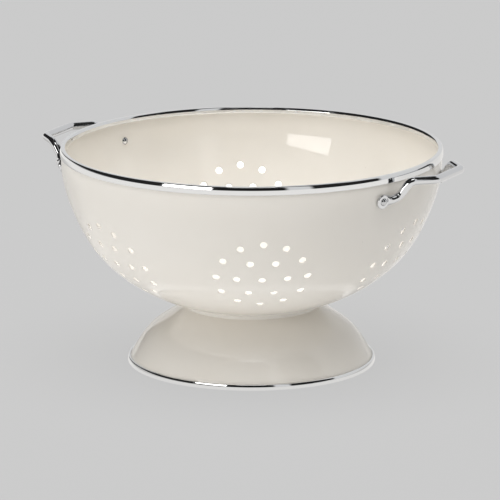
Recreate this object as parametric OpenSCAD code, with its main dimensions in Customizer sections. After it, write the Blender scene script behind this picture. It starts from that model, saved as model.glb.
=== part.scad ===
// Enamel colander: a pierced bowl on a domed foot, with rolled trims and riveted wire handles.
// Millimetres. +Z is up, the origin is on the table under the middle of the bowl, and the handles lie along X.

/* [Overall] */
// Diameter over the trim at the rim
rim_d = 240; // [220:1:270]
// Height from the table to the top of the rim
height = 138.3; // [128:0.1:152]
// Diameter over the trim at the foot
foot_d = 156; // [144:1:170]
// Thickness of the steel with its enamel
wall_t = 1.1; // [0.9:0.1:1.8]

/* [Bowl outline] */
// Radius of the flat floor
floor_r = 30.3; // [27:0.1:33]
// Height of the floor's underside above the table
floor_z = 36.8; // [35:0.1:39]
// Reach of the curve that leaves the floor
floor_reach = 13.5; // [10:0.25:17]
// How far the shoulder lies inside the top of the wall
shoulder_in = 12.3; // [10:0.1:15]
// How far the shoulder lies below the top of the rim
shoulder_drop = 51.8; // [48:0.1:56]
// Slope of the wall at the shoulder, in degrees
shoulder_slope = 63.4; // [60:0.2:67]
// Reach of the curve below the shoulder
lower_reach = 41; // [37:0.2:44]
// Reach of the curve above the shoulder
upper_reach = 34.9; // [30:0.1:38]

/* [Foot outline] */
// Outer radius of the waist, where the foot meets the bowl
waist_r = 42; // [39:0.1:45]
// Height of the waist above the table
waist_z = 37.8; // [37:0.1:38.4]
// How far the dome's crown lies below the waist
crown_drop = 2.9; // [2:0.1:4]
// How far the dome's crown stands out from the waist
crown_out = 2.8; // [2:0.1:4]
// Slope of the dome at its crown, in degrees
crown_slope = 33.5; // [30:0.5:38]
// Slope of the dome at its lower edge, in degrees
base_slope = 51.6; // [46:0.2:58]
// How far the lip above the waist flares out under the bowl
lip_run = 3.2; // [2.4:0.1:4]

/* [Drain holes] */
// Diameter of a drain hole
hole_d = 4.5; // [3:0.1:6]
// Radius of a rosette's inner ring of holes
inner_ring_r = 15.6; // [13:0.1:17]
// Number of holes in the inner ring
inner_holes = 6; // [5:1:7]
// Radius of a rosette's outer ring of holes
outer_ring_r = 28.1; // [25:0.1:30]
// Number of holes in the outer ring
outer_holes = 12; // [10:1:14]
// Number of rosettes round the wall
rosettes = 6; // [3:1:6]
// Height of the wall's rosettes above the floor's underside
rosette_rise = 38.7; // [36:0.1:42]

/* [Trims] */
// Thickness of the trims' sheet
trim_t = 0.6; // [0.4:0.1:0.8]
// Clearance between a trim and the hem inside it
trim_fit = 0.1; // [0.05:0.05:0.2]
// Width of the rim's trim, seen from above
rim_trim_w = 3.6; // [3.2:0.1:4.4]
// Depth of the rim's trim outside the bowl
rim_trim_h = 4.9; // [4.2:0.1:5.6]
// Depth of the rim's trim inside the bowl
rim_trim_in_h = 3.6; // [3:0.1:4.2]
// Corner radius of the rim's trim
rim_trim_corner = 1; // [0.8:0.1:1.3]
// How far the rim's trim stands out from the wall
rim_trim_out = 0.9; // [0.7:0.1:1.2]
// Width of the foot's trim, seen from below
foot_trim_w = 3.4; // [3:0.1:4]
// Depth of the foot's trim outside the foot
foot_trim_h = 3.5; // [3:0.1:4]
// Depth of the foot's trim inside the foot
foot_trim_in_h = 2.6; // [2.2:0.1:2.8]
// How far the foot's trim stands out from the enamel above it
foot_trim_out = 1.5; // [1.2:0.1:1.8]
// Corner radius of the foot's trim
foot_trim_corner = 1; // [0.8:0.1:1.2]

/* [Handles] */
// Diameter of the handles' wire
wire_d = 5.2; // [4.4:0.1:5.8]
// Bend radius of the wire's centre line
bend_r = 6; // [5:0.5:7]
// How far the grip's centre line stands out from the rim's trim
grip_out = 17.5; // [15:0.5:26]
// Half of the grip's length, from corner to corner
grip_half = 16.5; // [14:0.5:20]
// How far the knee, where a leg turns level, stands out from the rim's trim
knee_out = 5.5; // [4:0.5:7]
// Half of the distance between the two knees
knee_half = 28.5; // [27:0.5:31]
// How far the grip's centre line lies below the top of the rim
grip_drop = 4; // [3:0.5:5]
// Diameter of the flat tab at the end of the wire
tab_d = 9; // [8:0.5:11]
// Thickness of the flat tab
tab_t = 2; // [1.4:0.1:2.4]
// Distance along the wall from the tab's edge to the place where the wire lifts off
lift_run = 7.5; // [6.5:0.1:8.5]
// Rise of that place above the rivet
lift_rise = 2; // [1:0.1:3]
// Turn of the right handle away from the place opposite the left one, in degrees
right_turn = -2; // [-3:0.5:3]

/* [Rivets] */
// Angle round the bowl from the middle of a handle to its rivets, in degrees
rivet_angle = 20; // [19:0.5:21]
// How far the rivets lie below the top of the rim
rivet_drop = 15.7; // [14.5:0.1:17]
// Diameter of a rivet's shank
rivet_d = 3; // [2.4:0.1:3.6]
// Clearance round a rivet's shank
rivet_fit = 0.1; // [0.05:0.05:0.2]
// Clearance under heads and tabs
seat = 0.1; // [0.05:0.05:0.2]
// Diameter of a rivet's head
head_d = 4.9; // [4.6:0.1:5.6]
// Height of a rivet's head
head_h = 1.4; // [1:0.1:1.8]

/* [Hidden] */
$fn = 96;

enamel = [0.90, 0.88, 0.83];
steel = [0.78, 0.79, 0.80];

rim_r = rim_d / 2;
foot_r = foot_d / 2;
crest_r = rim_r - rim_trim_w / 2; // middle of the rim's trim
band_r = foot_r - foot_trim_w / 2; // middle of the foot's trim
wall_r = rim_r - rim_trim_out; // outside of the wall at its top
wall_top = height - rim_trim_w / 2; // the wall ends inside the hem
straight_top = 5.8; // reach of the curve that ends upright at the top of the wall
weld_gap = 0.1; // room for the enamel between foot and bowl
lower_steps = 10;
upper_steps = 12;
foot_steps = 10;
waist_steps = 4;
foot_reach = 15.5; // reach of the dome's curve at its lower edge
crown_reach = 37.6; // reach of the dome's curve at its crown
lip_slope = 60; // slope of the lip at its upper edge, in degrees
lip_rise = 10; // the lip is drawn up to this height above the floor, and the bowl trims it
punch_in = 16; // travel of the drain punch inside the wall
punch_out = 12; // travel of the drain punch outside the wall
past = 1; // how far a cutter passes the faces that it cuts
seam_swell = 0.06; // how much wider than the wire the balls at its seams are
tab_clear = 0.4; // the round wire begins this far beyond the tab's edge
taper_grip = 0.5; // the pressed taper reaches this far onto the round wire
taper_inset = 0.08; // how far the taper lies inside the wire's surface and the tab's faces
taper_edge = 0.45; // how far the taper lies inside the tab's edge
taper_sides = 32;

// Curves and directions
function bezier(p, t) =
    pow(1 - t, 3) * p[0] + 3 * pow(1 - t, 2) * t * p[1] + 3 * (1 - t) * t * t * p[2] + pow(t, 3) * p[3];
function curve(p, steps, first = 0) = [for (i = [first : steps]) bezier(p, i / steps)];
function heading(a) = [cos(a), sin(a)];
function unit(v) = v / norm(v);

// A curve set off to its left by a distance, point by point
function beside(p, gap) = [
    for (i = [0 : len(p) - 1])
        let (d = unit(p[min(i + 1, len(p) - 1)] - p[max(i - 1, 0)]))
            p[i] + gap * [-d[1], d[0]]
];
function reversed(p) = [for (i = [len(p) - 1 : -1 : 0]) p[i]];

// The bowl's outer outline, from the edge of the floor to the top of the wall
shoulder = [wall_r - shoulder_in, height - shoulder_drop];
lower_curve = curve([
    [floor_r, floor_z],
    [floor_r + floor_reach, floor_z],
    shoulder - lower_reach * heading(shoulder_slope),
    shoulder
], lower_steps);
upper_curve = curve([
    shoulder,
    shoulder + upper_reach * heading(shoulder_slope),
    [wall_r, wall_top - straight_top],
    [wall_r, wall_top]
], upper_steps, 1);
bowl_outline = concat(lower_curve, upper_curve);
radius_by_height = [for (p = bowl_outline) [p[1], p[0]]];

// Radius and outward lean of the wall at a height
function wall_radius(z) = lookup(z, radius_by_height);
function wall_lean(z, dz = 1) = atan((wall_radius(z + dz) - wall_radius(z - dz)) / (2 * dz));

// Places its children on the wall's outside: their Z points outwards, square to the wall, and their X down it
module on_wall(angle, z) {
    rotate([0, 0, angle])
        translate([wall_radius(z), 0, z])
            rotate([0, 90 + wall_lean(z), 0])
                children();
}

// A point given in the wall's own directions, as above, brought into the part's frame
function from_wall(angle, z, p) =
    let (
        lean = wall_lean(z),
        out = wall_radius(z) + p[2] * cos(lean) - p[0] * sin(lean),
        up = z - p[2] * sin(lean) - p[0] * cos(lean)
    )
    [out * cos(angle) - p[1] * sin(angle), out * sin(angle) + p[1] * cos(angle), up];

// Bowl
module bowl_blank() {
    rotate_extrude()
        polygon(concat([[0, floor_z]], bowl_outline, [[0, wall_top]]));
}

module bowl_shell() {
    inside = beside(bowl_outline, wall_t);
    rotate_extrude()
        polygon(concat([[0, floor_z]], bowl_outline, reversed(inside), [[0, floor_z + wall_t]]));
}

// A strip seen end on, standing on y = 0, with its two upper corners rounded
module strip(width, tall, corner) {
    translate([-width / 2, 0])
        square([width, tall - corner]);
    for (side = [-1, 1])
        translate([side * (width / 2 - corner), tall - corner])
            circle(r = corner);
    if (width > 2 * corner)
        translate([corner - width / 2, tall - 2 * corner])
            square([width - 2 * corner, 2 * corner]);
}

// The thickened edge of the bowl, inside its trim
module rim_hem() {
    hem_w = rim_trim_w - 2 * (trim_t + trim_fit);
    hem_h = rim_trim_in_h - trim_t - trim_fit;
    rotate_extrude()
        translate([crest_r, height - trim_t - trim_fit - hem_h])
            strip(hem_w, hem_h, rim_trim_corner - trim_t - trim_fit);
}

// Pins of the drain punch in a ring, the first one turned from X by a share of their spacing
module pin_ring(pins, ring_r, turned, travel) {
    for (i = [0 : pins - 1])
        rotate([0, 0, (i + turned) * 360 / pins])
            translate([ring_r, 0, 0])
                cylinder(d = hole_d, h = travel);
}

// The drain punch: a centre pin and two rings of pins, all side by side, which pierce a rosette at one stroke
module rosette_punch(travel) {
    cylinder(d = hole_d, h = travel);
    pin_ring(inner_holes, inner_ring_r, 0.5, travel);
    pin_ring(outer_holes, outer_ring_r, 0, travel);
}

module bowl() {
    color(enamel)
        difference() {
            union() {
                bowl_shell();
                rim_hem();
            }
            for (i = [0 : rosettes - 1])
                on_wall(i * 360 / rosettes, floor_z + rosette_rise)
                    translate([0, 0, -punch_in])
                        rosette_punch(punch_in + punch_out);
            translate([0, 0, floor_z - past])
                rosette_punch(punch_in);
            at_rivets()
                translate([0, 0, -wall_t - past])
                    cylinder(d = rivet_d + 2 * rivet_fit, h = wall_t + 2 * past);
        }
}

// Foot
hem_base = trim_t + trim_fit; // the foot's steel ends here, inside its trim
foot_hem_w = foot_trim_w - 2 * (trim_t + trim_fit);
foot_hem_h = foot_trim_h - hem_base;
dome_base = [foot_r - foot_trim_out, foot_trim_h];
crown = [waist_r + crown_out, waist_z - crown_drop];
lip = [waist_r + lip_run, floor_z + lip_rise];
dome_curve = curve([
    dome_base,
    dome_base + foot_reach * heading(180 - base_slope),
    crown - crown_reach * heading(180 - crown_slope),
    crown
], foot_steps);
waist_curve = concat(
    curve([
        crown,
        crown + crown_out * heading(180 - crown_slope),
        [waist_r, waist_z - crown_drop / 2],
        [waist_r, waist_z]
    ], waist_steps, 1),
    curve([
        [waist_r, waist_z],
        [waist_r, waist_z + lip_run / 2],
        lip - lip_run / 2 * heading(lip_slope),
        lip
    ], waist_steps, 1)
);

module foot() {
    inside = beside(dome_curve, wall_t);
    color(enamel)
        union() {
            difference() {
                rotate_extrude()
                    polygon(concat(
                        [[dome_base[0], foot_trim_h - past]],
                        dome_curve,
                        waist_curve,
                        [[waist_r - wall_t, lip[1]], [waist_r - wall_t, inside[foot_steps][1]]],
                        reversed(inside),
                        [[inside[0][0], foot_trim_h - past]]
                    ));
                translate([0, 0, -weld_gap])
                    bowl_blank();
            }
            rotate_extrude()
                translate([band_r, hem_base + foot_hem_h])
                    mirror([0, 1])
                        strip(foot_hem_w, foot_hem_h, foot_trim_corner - hem_base);
        }
}

// A trim seen end on: sheet folded over, open downwards, its top at y = 0 and its outer side at +X
module trim_outline(width, corner, outer_h, inner_h) {
    difference() {
        translate([0, -outer_h])
            strip(width, outer_h, corner);
        translate([0, -outer_h - past])
            strip(width - 2 * trim_t, outer_h + past - trim_t, corner - trim_t);
        translate([-width / 2 - past, -outer_h - past])
            square([width / 2 + past, outer_h - inner_h + past]);
    }
}

module rim_band() {
    color(steel)
        rotate_extrude()
            translate([crest_r, height])
                trim_outline(rim_trim_w, rim_trim_corner, rim_trim_h, rim_trim_in_h);
}

module foot_band() {
    color(steel)
        rotate_extrude()
            translate([band_r, 0])
                mirror([0, 1])
                    trim_outline(foot_trim_w, foot_trim_corner, foot_trim_h, foot_trim_in_h);
}

// Handles
rivet_z = height - rivet_drop;
knee = [rim_r + knee_out, knee_half, height - grip_drop];
corner = [rim_r + grip_out, grip_half, height - grip_drop];

// Where the round wire begins beside its tab, and where it lifts off the wall, for the leg on the side of +Y
wire_off = seat + wire_d / 2;
lift_way = [-lift_rise, -tab_d / 2 - lift_run];
root_way = (tab_d / 2 + tab_clear) * unit(lift_way);
lift = from_wall(rivet_angle, rivet_z, [lift_way[0], lift_way[1], wire_off]);
root = from_wall(rivet_angle, rivet_z, [root_way[0], root_way[1], wire_off]);

function across(p) = [p[0], -p[1], p[2]];
wire_path = [root, lift, knee, corner, across(corner), across(knee), across(lift), across(root)];

// How much of the path on each side of a bend the bend takes up
function turn_at(p, i) = acos(unit(p[i] - p[i - 1]) * unit(p[i + 1] - p[i]));
function bend_run(p, i) = (i == 0 || i == len(p) - 1) ? 0 : bend_r * tan(turn_at(p, i) / 2);

module rod(from, to, d) {
    way = to - from;
    translate(from)
        rotate([0, acos(way[2] / norm(way)), atan2(way[1], way[0])])
            cylinder(d = d, h = norm(way));
}

// A bend of the wire at point i of the path: part of a ring, turned into the plane of its two legs
module elbow(p, i) {
    u = unit(p[i] - p[i - 1]);
    v = unit(p[i + 1] - p[i]);
    inward = unit(v - (u * v) * u);
    square_off = cross(u, inward);
    centre = p[i] - bend_run(p, i) * u + bend_r * inward;
    multmatrix([
        [-inward[0], u[0], square_off[0], centre[0]],
        [-inward[1], u[1], square_off[1], centre[1]],
        [-inward[2], u[2], square_off[2], centre[2]],
        [0, 0, 0, 1]
    ])
        rotate_extrude(angle = turn_at(p, i))
            translate([bend_r, 0])
                circle(d = wire_d);
}

// The wire, bent along a path; a ball closes each seam between a bend and a straight
module bent_wire(p) {
    for (i = [0 : len(p) - 2]) {
        way = unit(p[i + 1] - p[i]);
        rod(p[i] + bend_run(p, i) * way, p[i + 1] - bend_run(p, i + 1) * way, wire_d);
    }
    for (i = [1 : len(p) - 2]) {
        elbow(p, i);
        for (end = [-bend_run(p, i) * unit(p[i] - p[i - 1]), bend_run(p, i) * unit(p[i + 1] - p[i])])
            translate(p[i] + end)
                sphere(d = wire_d + seam_swell);
    }
}

// The end of the wire, pressed flat: a round tab and the taper that leads into it
module tab(side) {
    start = side > 0 ? root : across(root);
    next = side > 0 ? lift : across(lift);
    on_wall(side * rivet_angle, rivet_z)
        translate([0, 0, seat])
            cylinder(d = tab_d, h = tab_t);
    hull() {
        on_wall(side * rivet_angle, rivet_z)
            translate([0, 0, seat + taper_inset])
                cylinder(d = tab_d - 2 * taper_edge, h = tab_t - 2 * taper_inset, $fn = taper_sides);
        rod(start, start + taper_grip * unit(next - start), wire_d - 2 * taper_inset, $fn = taper_sides);
    }
}

module at_rivets() {
    for (turn = [right_turn, 180], side = [-1, 1])
        on_wall(turn + side * rivet_angle, rivet_z)
            children();
}

module handle() {
    color(steel)
        difference() {
            union() {
                bent_wire(wire_path);
                tab(1);
                tab(-1);
            }
            for (side = [-1, 1])
                on_wall(side * rivet_angle, rivet_z)
                    translate([0, 0, -past])
                        cylinder(d = rivet_d + 2 * rivet_fit, h = seat + tab_t + 2 * past);
        }
}

module handle_right() {
    rotate([0, 0, right_turn])
        handle();
}

module handle_left() {
    rotate([0, 0, 180])
        handle();
}

// A shallow dome on z = 0
module dome(d, h) {
    ball_r = (d * d / 4 + h * h) / (2 * h);
    intersection() {
        translate([0, 0, h - ball_r])
            sphere(r = ball_r);
        cylinder(d = d + past, h = h + past);
    }
}

module rivets() {
    outer_face = seat + tab_t + seat;
    inner_face = -wall_t - seat;
    color(steel)
        at_rivets() {
            translate([0, 0, inner_face])
                cylinder(d = rivet_d, h = outer_face - inner_face);
            translate([0, 0, outer_face])
                dome(head_d, head_h);
            translate([0, 0, inner_face])
                mirror([0, 0, 1])
                    dome(head_d, head_h);
        }
}

bowl();
foot();
rim_band();
foot_band();
handle_right();
handle_left();
rivets();
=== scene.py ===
import math

import bmesh
import bpy
import numpy as np
from mathutils import Matrix, Vector


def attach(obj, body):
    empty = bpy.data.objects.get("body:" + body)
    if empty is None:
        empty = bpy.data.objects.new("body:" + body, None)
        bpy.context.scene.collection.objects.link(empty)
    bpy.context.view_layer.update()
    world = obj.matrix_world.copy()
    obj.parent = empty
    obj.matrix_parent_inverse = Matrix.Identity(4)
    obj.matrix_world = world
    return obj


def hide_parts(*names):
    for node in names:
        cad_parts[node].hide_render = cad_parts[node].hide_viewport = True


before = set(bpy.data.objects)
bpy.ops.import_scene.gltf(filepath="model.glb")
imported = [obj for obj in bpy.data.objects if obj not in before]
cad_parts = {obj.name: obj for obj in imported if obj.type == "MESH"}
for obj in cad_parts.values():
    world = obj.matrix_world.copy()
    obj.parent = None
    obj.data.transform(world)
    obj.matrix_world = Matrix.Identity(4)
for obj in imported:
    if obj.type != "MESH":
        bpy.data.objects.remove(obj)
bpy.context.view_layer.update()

# Enamel colander. Sizes are millimetres here, and become metres when a mesh is made.
mm = 0.001
body = "root"

overall = {
    "rimRadius": 120.0,
    "height": 138.3,
    "footRadius": 78.0,
    "wall": 1.1,
    "turns": 288,  # facets round the bowl, the foot and the trims
}


# Helpers for nodes, outlines and meshes
def hexColour(code):  # sRGB hex to the linear colour that a shader takes
    parts = [int(code[i : i + 2], 16) / 255 for i in (1, 3, 5)]
    return tuple(c / 12.92 if c <= 0.04045 else ((c + 0.055) / 1.055) ** 2.4 for c in parts) + (1.0,)


def addNode(tree, kind, inputs=None, **settings):
    node = tree.nodes.new(kind)
    place = len(tree.nodes) - 1
    node.location = (220 * (place % 9), -320 * (place // 9))
    for name, value in settings.items():
        setattr(node, name, value)
    for key, value in (inputs or {}).items():
        several = value if isinstance(value, list) else [value]
        if isinstance(several[0], bpy.types.NodeSocket):
            for socket in several:
                tree.links.new(socket, node.inputs[key])
        else:
            node.inputs[key].default_value = value
    return node


def heading(degrees):
    return np.array([math.cos(math.radians(degrees)), math.sin(math.radians(degrees))])


def bezier(points, steps, first=0):
    p = np.array(points, float)
    t = np.arange(first, steps + 1)[:, None] / steps
    return (1 - t) ** 3 * p[0] + 3 * (1 - t) ** 2 * t * p[1] + 3 * (1 - t) * t**2 * p[2] + t**3 * p[3]


def arc(centre, radius, start, end, steps):  # angles in degrees, both ends included
    return np.array([np.array(centre) + radius * heading(a) for a in np.linspace(start, end, steps + 1)])


def ways(outline):  # unit direction of travel at each point of an open outline
    way = np.vstack([outline[1:], outline[-1:]]) - np.vstack([outline[:1], outline[:-1]])
    return way / np.linalg.norm(way, axis=1)[:, None]


def beside(outline, gap):  # an open outline set off to its left
    way = ways(outline)
    return outline + gap * np.column_stack([-way[:, 1], way[:, 0]])


def roundEnd(a, b, steps):  # the half circle that turns left from a to b, without its ends
    centre = (a + b) / 2
    right = a - centre
    ahead = np.array([-right[1], right[0]])
    turns = np.linspace(0, math.pi, steps + 1)[1:-1]
    return np.array([centre + math.cos(t) * right + math.sin(t) * ahead for t in turns])


def folded(path, sheet, steps=6):  # the closed outline of a sheet that follows a path, with rounded edges
    inner = beside(path, sheet)
    return np.vstack([path, roundEnd(path[-1], inner[-1], steps), inner[::-1], roundEnd(inner[0], path[0], steps)])


def makeObject(name, vertices, faces, material):
    mesh = bpy.data.meshes.new(name)
    mesh.from_pydata([tuple(v) for v in np.asarray(vertices) * mm], [], faces)
    mesh.shade_smooth()
    mesh.materials.append(material)
    piece = bpy.data.objects.new(name, mesh)
    bpy.context.scene.collection.objects.link(piece)
    return piece


# Turns an outline of radius and height about Z. The outside lies on the right of its travel.
# An open outline begins and ends on the axis.
def turnOutline(name, outline, turns, material, closed=False):
    rings = outline if closed else outline[1:-1]
    angles = np.arange(turns) * 2 * math.pi / turns
    vertices = [(r * math.cos(a), r * math.sin(a), z) for r, z in rings for a in angles]
    faces = []
    last = len(rings) if closed else len(rings) - 1
    for i in range(last):
        low, high = i * turns, (i + 1) % len(rings) * turns
        for j in range(turns):
            k = (j + 1) % turns
            faces.append((low + j, low + k, high + k, high + j))
    if not closed:
        top = (len(rings) - 1) * turns
        start, end = len(vertices), len(vertices) + 1
        vertices += [(0, 0, outline[0][1]), (0, 0, outline[-1][1])]
        for j in range(turns):
            k = (j + 1) % turns
            faces.append((start, k, j))
            faces.append((top + j, top + k, end))
    return makeObject(name, vertices, faces, material)


# Geometry Nodes: one group from a dictionary of labels and socket kinds
def startGroup(name, inputs):
    tree = bpy.data.node_groups.new(name, "GeometryNodeTree")
    tree.interface.new_socket("Geometry", in_out="OUTPUT", socket_type="NodeSocketGeometry")
    tree.interface.new_socket("Geometry", in_out="INPUT", socket_type="NodeSocketGeometry")
    for label, kind in inputs.items():
        tree.interface.new_socket(label, in_out="INPUT", socket_type="NodeSocket" + kind)
    return tree, addNode(tree, "NodeGroupInput").outputs


def endGroup(tree, geometry, material):
    real = addNode(tree, "GeometryNodeRealizeInstances", {"Geometry": geometry})
    finish = addNode(tree, "GeometryNodeSetMaterial", {"Geometry": real.outputs[0], "Material": material})
    addNode(tree, "NodeGroupOutput", {"Geometry": finish.outputs[0]})


def applyGroup(piece, tree, values):
    modifier = piece.modifiers.new(tree.name, "NODES")
    modifier.node_group = tree
    for item in tree.interface.items_tree:
        if item.in_out == "INPUT" and item.name in values:
            modifier[item.identifier] = values[item.name]
    depsgraph = bpy.context.evaluated_depsgraph_get()
    mesh = bpy.data.meshes.new_from_object(piece.evaluated_get(depsgraph), depsgraph=depsgraph)
    piece.modifiers.remove(modifier)
    piece.data = mesh
    return piece


# Materials
def startMaterial(name):
    material = bpy.data.materials.new(name)
    material.use_nodes = True
    material.node_tree.nodes.clear()
    return material, material.node_tree


def addNoise(tree, place, size, detail, **more):  # size in millimetres
    return addNode(tree, "ShaderNodeTexNoise",
                   {"Vector": place, "Scale": 1 / (size * mm), "Detail": detail, **more})


def addBump(tree, pattern, height, under=None):  # height in millimetres; it can lie over another bump
    values = {"Height": pattern.outputs["Fac"], "Distance": height * mm, "Strength": 1.0}
    if under:
        values["Normal"] = under.outputs[0]
    return addNode(tree, "ShaderNodeBump", values)


enamelLook = {
    "cream": "#EEEAE3",
    "warmCream": "#EBE6DD",
    "speck": "#8F8578",
    "cloudSize": 45.0,  # mm, slow drift of the enamel's colour
    "peelSize": 5.5,  # mm, the faint waviness that a fired coat keeps
    "peelHeight": 0.012,
    "waveSize": 38.0,  # mm, the pressing's own unevenness under the coat
    "waveHeight": 0.05,
    "speckSpacing": 11.0,
    "speckSize": 0.28,
    "speckShare": 0.5,  # how much a speck covers the cream under it
    "roughness": (0.02, 0.05),
    "index": 1.52,  # how strongly the glassy coat bends and mirrors light
}


def makeEnamel():  # vitreous enamel, sprayed and fired on pressed steel: glassy, softly uneven, sharp reflections
    look = enamelLook
    material, tree = startMaterial("vitreousEnamelCream")
    place = addNode(tree, "ShaderNodeTexCoord").outputs["Object"]
    clouds = addNoise(tree, place, look["cloudSize"], 3.0, Roughness=0.55)
    tint = addNode(tree, "ShaderNodeMix",
                   {"Factor": clouds.outputs["Fac"], 6: hexColour(look["cream"]), 7: hexColour(look["warmCream"])},
                   data_type="RGBA")
    cells = addNode(tree, "ShaderNodeTexVoronoi",
                    {"Vector": place, "Scale": 1 / (look["speckSpacing"] * mm), "Randomness": 1.0})
    speckEdge = look["speckSize"] / look["speckSpacing"]
    speck = addNode(tree, "ShaderNodeMapRange",
                    {"Value": cells.outputs["Distance"], "From Min": speckEdge * 0.4, "From Max": speckEdge,
                     "To Min": look["speckShare"], "To Max": 0.0})
    dotted = addNode(tree, "ShaderNodeMix",
                     {"Factor": speck.outputs[0], 6: tint.outputs[2], 7: hexColour(look["speck"])},
                     data_type="RGBA")
    low, high = look["roughness"]
    gloss = addNode(tree, "ShaderNodeMapRange", {"Value": clouds.outputs["Fac"], "To Min": low, "To Max": high})
    wave = addNoise(tree, place, look["waveSize"], 1.0)
    peel = addNoise(tree, place, look["peelSize"], 2.0)
    bump = addBump(tree, peel, look["peelHeight"], addBump(tree, wave, look["waveHeight"]))
    surface = addNode(tree, "ShaderNodeBsdfPrincipled",
                      {"Base Color": dotted.outputs[2], "Roughness": gloss.outputs[0], "IOR": look["index"],
                       "Normal": bump.outputs[0]})
    addNode(tree, "ShaderNodeOutputMaterial", {"Surface": surface.outputs[0]})
    return material


trimLook = {
    "steel": "#E4E5E6",
    "lineSpacing": 0.35,  # mm; real rolling lines are finer and wouldn't show
    "lineHeight": 0.0012,
    "dentSize": 14.0,
    "dentHeight": 0.015,
    "roughness": (0.03, 0.06),
}


def makeTrimSteel():  # stainless sheet, rolled and polished: mirror bright with faint lines along the roll
    look = trimLook
    material, tree = startMaterial("polishedStainlessTrim")
    place = addNode(tree, "ShaderNodeTexCoord").outputs["Object"]
    axes = addNode(tree, "ShaderNodeSeparateXYZ", {0: place})
    flat = addNode(tree, "ShaderNodeCombineXYZ", {"X": axes.outputs["X"], "Y": axes.outputs["Y"]})
    radius = addNode(tree, "ShaderNodeVectorMath", {0: flat.outputs[0]}, operation="LENGTH")
    across = addNode(tree, "ShaderNodeMath", {0: radius.outputs["Value"], 1: axes.outputs["Z"]}, operation="ADD")
    lineScale = addNode(tree, "ShaderNodeMath", {0: across.outputs[0], 1: 1 / (look["lineSpacing"] * mm)},
                        operation="MULTIPLY")
    lines = addNode(tree, "ShaderNodeTexNoise", {"Vector": flat.outputs[0], "W": lineScale.outputs[0],
                                                 "Scale": 1.0, "Detail": 2.0}, noise_dimensions="4D")
    dents = addNoise(tree, place, look["dentSize"], 1.0)
    low, high = look["roughness"]
    polish = addNode(tree, "ShaderNodeMapRange",
                     {"Value": lines.outputs["Fac"], "To Min": low, "To Max": high})
    bump = addBump(tree, lines, look["lineHeight"], addBump(tree, dents, look["dentHeight"]))
    surface = addNode(tree, "ShaderNodeBsdfPrincipled",
                      {"Base Color": hexColour(look["steel"]), "Metallic": 1.0, "Roughness": polish.outputs[0],
                       "Normal": bump.outputs[0]})
    addNode(tree, "ShaderNodeOutputMaterial", {"Surface": surface.outputs[0]})
    return material


wireLook = {
    "wire": "#D8D9DB",
    "rivet": "#C9CACC",
    "grainSize": 1.6,  # mm, the slight unevenness of plated wire
    "grainHeight": 0.004,
    "swellSize": 11.0,
    "swellHeight": 0.02,
    "wireRoughness": (0.03, 0.08),
    "rivetRoughness": (0.05, 0.12),
}


def makePlated(name, colour, roughness):  # nickel and chrome over steel: bright, with soft hollows in the plating
    look = wireLook
    material, tree = startMaterial(name)
    place = addNode(tree, "ShaderNodeTexCoord").outputs["Object"]
    swell = addNoise(tree, place, look["swellSize"], 1.0)
    grain = addNoise(tree, place, look["grainSize"], 3.0)
    low, high = roughness
    polish = addNode(tree, "ShaderNodeMapRange", {"Value": grain.outputs["Fac"], "To Min": low, "To Max": high})
    bump = addBump(tree, grain, look["grainHeight"], addBump(tree, swell, look["swellHeight"]))
    surface = addNode(tree, "ShaderNodeBsdfPrincipled",
                      {"Base Color": hexColour(colour), "Metallic": 1.0, "Roughness": polish.outputs[0],
                       "Normal": bump.outputs[0]})
    addNode(tree, "ShaderNodeOutputMaterial", {"Surface": surface.outputs[0]})
    return material


enamel = makeEnamel()
trimSteel = makeTrimSteel()
wireChrome = makePlated("chromedWire", wireLook["wire"], wireLook["wireRoughness"])
rivetChrome = makePlated("chromedRivet", wireLook["rivet"], wireLook["rivetRoughness"])
print("materials made")


# Bowl
bowlShape = {
    "floorRadius": 30.3,
    "floorHeight": 36.8,
    "floorReach": 13.5,
    "floorRings": (0, 8, 16, 24),
    "shoulderIn": 12.3,
    "shoulderDrop": 51.8,
    "shoulderSlope": 63.4,
    "lowerReach": 41.0,
    "upperReach": 34.9,
    "wallInset": 0.9,  # the wall lies this far inside the rim trim's outer face
    "topInset": 1.8,  # the wall ends this far below the top of the rim
    "straightTop": 5.8,
    "lowerSteps": 28,
    "upperSteps": 34,
}
rosette = {
    "Inner ring radius": 15.6,
    "Inner holes": 6,
    "Outer ring radius": 28.1,
    "Outer holes": 12,
    "Rosettes": 6,
    "Rise": 38.7,  # of the wall's rosettes above the floor
    "holeRadius": 2.25,
    "outerEdge": 0.35,  # the enamel rounds every hole's edges
    "innerEdge": 0.55,
    "edgeEnd": 75.0,  # degrees of that rounding before it runs out at the face
    "sides": 20,
    "overshoot": 0.35,
    "Travel": 12.0,
}

wallRadius = overall["rimRadius"] - bowlShape["wallInset"]
wallTop = overall["height"] - bowlShape["topInset"]
floorHeight = bowlShape["floorHeight"]
shoulder = np.array([wallRadius - bowlShape["shoulderIn"], overall["height"] - bowlShape["shoulderDrop"]])
rise = heading(bowlShape["shoulderSlope"])
floorEdge = np.array([bowlShape["floorRadius"], floorHeight])
bowlOutline = np.vstack([
    [(r, floorHeight) for r in bowlShape["floorRings"]],
    bezier([floorEdge, floorEdge + (bowlShape["floorReach"], 0), shoulder - bowlShape["lowerReach"] * rise, shoulder],
           bowlShape["lowerSteps"]),
    bezier([shoulder, shoulder + bowlShape["upperReach"] * rise, (wallRadius, wallTop - bowlShape["straightTop"]),
            (wallRadius, wallTop)], bowlShape["upperSteps"], 1),
])

wallOutline = bowlOutline[len(bowlShape["floorRings"]) :]  # from the floor's edge up


def wallRadiusAt(z):
    return float(np.interp(z, wallOutline[:, 1], wallOutline[:, 0]))


def wallLean(z):
    return math.atan((wallRadiusAt(z + 1) - wallRadiusAt(z - 1)) / 2)


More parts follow.
